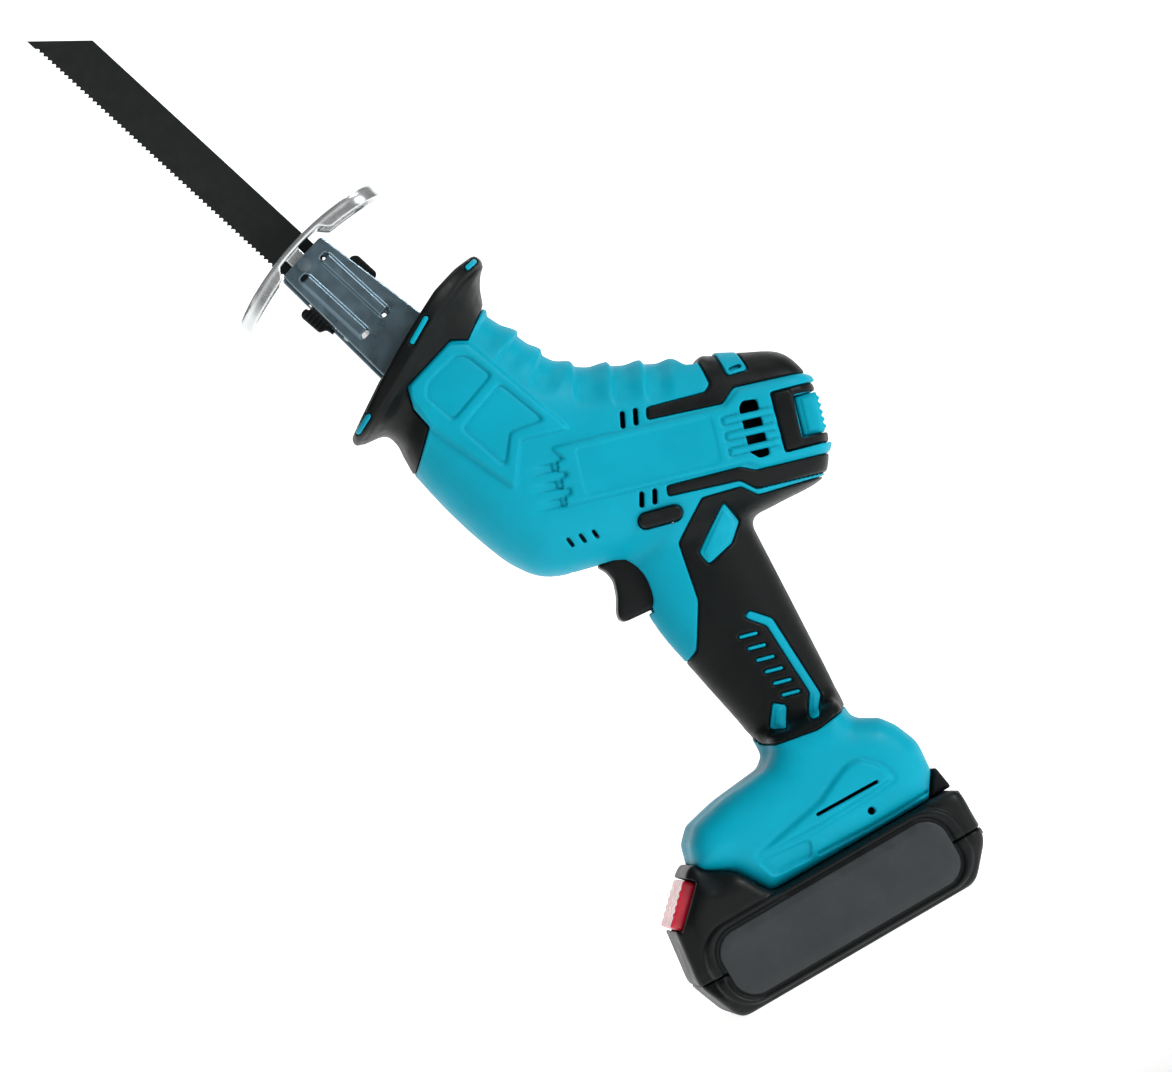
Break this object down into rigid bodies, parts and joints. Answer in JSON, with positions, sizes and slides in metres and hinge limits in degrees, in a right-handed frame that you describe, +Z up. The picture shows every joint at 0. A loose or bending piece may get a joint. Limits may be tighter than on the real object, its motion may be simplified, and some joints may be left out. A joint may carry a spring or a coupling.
{
  "type": "reciprocating saw",
  "caption": "Cordless reciprocating saw standing on its slide-on battery pack, with a bent body, flared nose guard, curved shoe, twist blade clamp and toothed blade.",
  "frame": {"origin": "middle of the battery pack's flat underside", "axes": "+Z up, blade and nose lean towards -X, the saw's left side faces -Y"},
  "size_m": [0.194, 0.075, 0.4548],
  "materials": {
    "cyan_plastic": "moulded, satin",
    "black_rubber": "moulded, matt",
    "black_plastic": "moulded, matt",
    "grey_plastic": "fine textured",
    "red_plastic": "moulded, satin",
    "screw_steel": "black oxide",
    "blade_steel": "dark coated steel",
    "bright_steel": "ground",
    "grey_steel": "pressed, oiled",
    "chrome_steel": "plated",
    "cast_aluminium": "as cast",
    "bronze": "sintered",
    "board": "lacquered",
    "cell_wrap": null
  },
  "bodies": {
    "tool": {"housing_left": "cyan_plastic", "housing_right": "cyan_plastic", "front_collar": "black_rubber", "grip_rubber_left": "black_rubber", "grip_rubber_right": "black_rubber", "rear_rubber_left": "black_rubber", "rear_rubber_right": "black_rubber", "rear_cap": "cyan_plastic", "motor_can": "grey_steel", "motor_end_bell": "black_plastic", "motor_bearing": "bright_steel", "crank_bearing": "bright_steel", "plunger_bush_rear": "bronze", "plunger_bush_front": "bronze", "plunger_block": "cast_aluminium", "nose_seal": "black_rubber", "bracket_left": "grey_steel", "bracket_right": "grey_steel", "shoe_rivet_left": "grey_steel", "shoe_rivet_right": "grey_steel", "switch_body": "black_plastic", "trigger_spring": "bright_steel", "terminal_block": "black_plastic", "contact_left": "bronze", "contact_right": "bronze", "foot_bumper": "black_rubber", "housing_screw_1": "screw_steel", "housing_screw_2": "screw_steel", "housing_screw_3": "screw_steel", "housing_screw_4": "screw_steel", "housing_screw_5": "screw_steel", "housing_screw_6": "screw_steel", "housing_screw_7": "screw_steel", "housing_screw_8": "screw_steel"},
    "rotor": {"motor_armature": "grey_steel", "motor_fan": "black_plastic", "drive_pinion": "grey_steel"},
    "crank": {"crank_gear": "grey_steel", "crank_pin": "bright_steel"},
    "plunger": {"plunger": "bright_steel", "saw_blade": "blade_steel", "clamp_body": "grey_steel", "clamp_ring": "bright_steel", "clamp_spring": "bright_steel"},
    "clamp": {"clamp_collar": "black_plastic"},
    "shoe": {"shoe": "chrome_steel"},
    "trigger": {"trigger": "black_plastic"},
    "lock": {"lock_button": "black_plastic"},
    "battery": {"pack_case_lower": "black_plastic", "pack_case_upper": "black_plastic", "pack_panel_left": "grey_plastic", "pack_panel_right": "grey_plastic", "pack_board": "board", "cell_1": "cell_wrap", "cell_2": "cell_wrap", "cell_3": "cell_wrap", "cell_4": "cell_wrap", "cell_5": "cell_wrap"},
    "release": {"release_button": "red_plastic"}
  },
  "joints": [
    {"name": "rotor_spin", "type": "hinge", "parent": "tool", "child": "rotor", "pos_m": [0.04206, 0, 0.19506], "axis": [0.9593, 0, -0.2823], "continuous": true},
    {"name": "crank_spin", "type": "hinge", "parent": "tool", "child": "crank", "pos_m": [-0.0155, 0, 0.212], "axis": [0, 1, 0], "continuous": true},
    {"name": "plunger_slide", "type": "slide", "parent": "tool", "child": "plunger", "axis": [-0.299, 0, 0.9542], "range_m": [-0.008, 0.008]},
    {"name": "clamp_twist", "type": "hinge", "parent": "plunger", "child": "clamp", "pos_m": [-0.0466, 0, 0.31124], "axis": [-0.299, 0, 0.9542], "range_deg": [0, 30], "stiffness_Nm_per_rad": 0.05},
    {"name": "shoe_pivot", "type": "hinge", "parent": "tool", "child": "shoe", "pos_m": [-0.05198, 0, 0.32842], "axis": [0, 1, 0], "range_deg": [-12, 12]},
    {"name": "trigger_pull", "type": "slide", "parent": "tool", "child": "trigger", "axis": [1, 0, 0], "range_m": [0, 0.006], "stiffness_N_per_m": 700},
    {"name": "lock_push", "type": "slide", "parent": "tool", "child": "lock", "axis": [0, -1, 0], "range_m": [0, 0.003]},
    {"name": "battery_slide", "type": "slide", "parent": "tool", "child": "battery", "axis": [-1, 0, 0], "range_m": [0, 0.075]},
    {"name": "release_press", "type": "slide", "parent": "battery", "child": "release", "axis": [0.7001, 0, -0.7141], "range_m": [0, 0.002], "stiffness_N_per_m": 700}
  ],
  "couplings": [
    {"joint": "crank_spin", "follows": "rotor_spin", "ratio": 0.33333}
  ]
}
